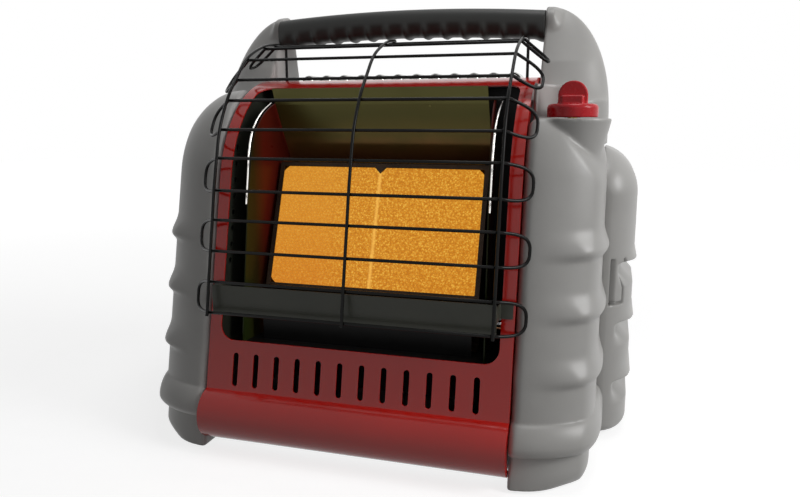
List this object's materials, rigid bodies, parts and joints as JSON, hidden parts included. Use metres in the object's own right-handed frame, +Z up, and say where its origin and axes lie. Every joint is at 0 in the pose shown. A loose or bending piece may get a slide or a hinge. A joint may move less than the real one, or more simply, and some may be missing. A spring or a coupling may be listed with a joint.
{
  "type": "portable propane heater",
  "caption": "Portable propane radiant heater: twin ceramic burner tiles behind a wire guard, moulded side casings with swing-out cylinder doors, and a carry handle.",
  "frame": {"origin": "on the surface it stands on, at the middle of its width and depth", "axes": "+Z up, the front and the guard face -Y, +X to the right casing with the knob"},
  "size_m": [0.498, 0.29, 0.432],
  "materials": {
    "red_enamel": "gloss enamel",
    "galvanised": "satin zinc coat",
    "rubber_pad": "matt",
    "black_steel": "satin black",
    "screw_steel": "satin",
    "silver_plastic": "metallic grey, fine texture",
    "grip_rubber": "satin",
    "black_enamel": "gloss enamel",
    "polished_sheet": "polished",
    "burner_ceramic": "matt, glowing orange honeycomb",
    "burner_steel": "heat-tinted",
    "brass": "machined",
    "soft_aluminium": "drawn tube",
    "copper_lead": "drawn",
    "electrode": "glazed",
    "bar_enamel": "satin black",
    "guard_wire": "gloss black",
    "cast_aluminium": "die cast",
    "red_plastic": "gloss",
    "black_plastic": "satin",
    "cell_wrap": "plain dark wrap"
  },
  "bodies": {
    "heater": {"front_panel": "red_enamel", "side_plate_right": "galvanised", "side_plate_left": "galvanised", "base_pan": "galvanised", "foot_pads": "rubber_pad", "back_panel": "black_steel", "back_screws": "screw_steel", "top_cover": "black_steel", "side_shell_right": "silver_plastic", "side_shell_left": "silver_plastic", "shell_screws": "screw_steel", "hinge_pins": "screw_steel", "handle_core": "soft_aluminium", "handle_grip": "grip_rubber", "handle_bolts": "screw_steel", "firebox": "black_enamel", "canopy_reflector": "polished_sheet", "side_reflectors": "polished_sheet", "tile_right": "burner_ceramic", "tile_left": "burner_ceramic", "tile_frame": "burner_steel", "burner_plenum": "burner_steel", "mixing_tube": "burner_steel", "orifice_holder": "brass", "pilot_burner": "brass", "pilot_bracket": "burner_steel", "pilot_tube": "soft_aluminium", "thermocouple": "copper_lead", "spark_electrode": "electrode", "burner_skirt": "black_enamel", "front_bar": "bar_enamel", "wire_guard": "guard_wire", "valve_bracket": "galvanised", "gas_valve": "cast_aluminium", "piezo_igniter": "black_plastic", "burner_tube": "soft_aluminium", "regulator_brackets": "galvanised", "gas_line_right": "soft_aluminium", "gas_line_left": "soft_aluminium", "fan_shroud": "black_plastic", "fan_motor": "screw_steel", "fan_guard": "guard_wire", "fan_screws": "screw_steel", "fan_switch_body": "black_plastic", "power_jack": "black_plastic", "battery_box": "black_plastic", "battery_cells": "cell_wrap", "battery_contacts": "screw_steel", "battery_pin": "screw_steel", "tilt_switch": "black_plastic"},
    "spindle": {"valve_stem": "brass", "knob_spring": "screw_steel"},
    "knob": {"control_knob": "red_plastic"},
    "door_right": {"cylinder_door_right": "silver_plastic"},
    "door_left": {"cylinder_door_left": "silver_plastic"},
    "swivel_right": {"regulator_right": "cast_aluminium"},
    "swivel_left": {"regulator_left": "cast_aluminium"},
    "fan": {"fan_wheel": "black_plastic"},
    "rocker": {"fan_switch_rocker": "black_plastic"},
    "battery_hatch": {"battery_door": "black_plastic"}
  },
  "joints": [
    {"name": "knob_turn", "type": "hinge", "parent": "heater", "child": "spindle", "pos_m": [0.183, -0.025, 0.33], "axis": [0, 0, 1], "range_deg": [0, 210]},
    {"name": "knob_push", "type": "slide", "parent": "spindle", "child": "knob", "axis": [0, 0, -1], "range_m": [0, 0.004], "stiffness_N_per_m": 900, "springref_m": -0.002, "deforming": ["knob_spring"]},
    {"name": "door_right_hinge", "type": "hinge", "parent": "heater", "child": "door_right", "pos_m": [0.153, 0.139, 0.15], "axis": [0, 0, 1], "range_deg": [0, 95]},
    {"name": "door_left_hinge", "type": "hinge", "parent": "heater", "child": "door_left", "pos_m": [-0.153, 0.139, 0.15], "axis": [0, 0, -1], "range_deg": [0, 95]},
    {"name": "regulator_right_swivel", "type": "hinge", "parent": "heater", "child": "swivel_right", "pos_m": [0.19, 0.08, 0.258], "axis": [0, -1, 0], "range_deg": [0, 80]},
    {"name": "regulator_left_swivel", "type": "hinge", "parent": "heater", "child": "swivel_left", "pos_m": [-0.19, 0.08, 0.258], "axis": [0, 1, 0], "range_deg": [0, 80]},
    {"name": "fan_spin", "type": "hinge", "parent": "heater", "child": "fan", "pos_m": [0, 0.103, 0.165], "axis": [0, 1, 0], "continuous": true},
    {"name": "fan_switch_rock", "type": "hinge", "parent": "heater", "child": "rocker", "pos_m": [-0.096, 0.111, 0.25], "axis": [1, 0, 0], "range_deg": [-8, 8]},
    {"name": "battery_hatch_hinge", "type": "hinge", "parent": "heater", "child": "battery_hatch", "pos_m": [0, 0.1172, 0.0521], "axis": [1, 0, 0], "range_deg": [0, 100]}
  ]
}
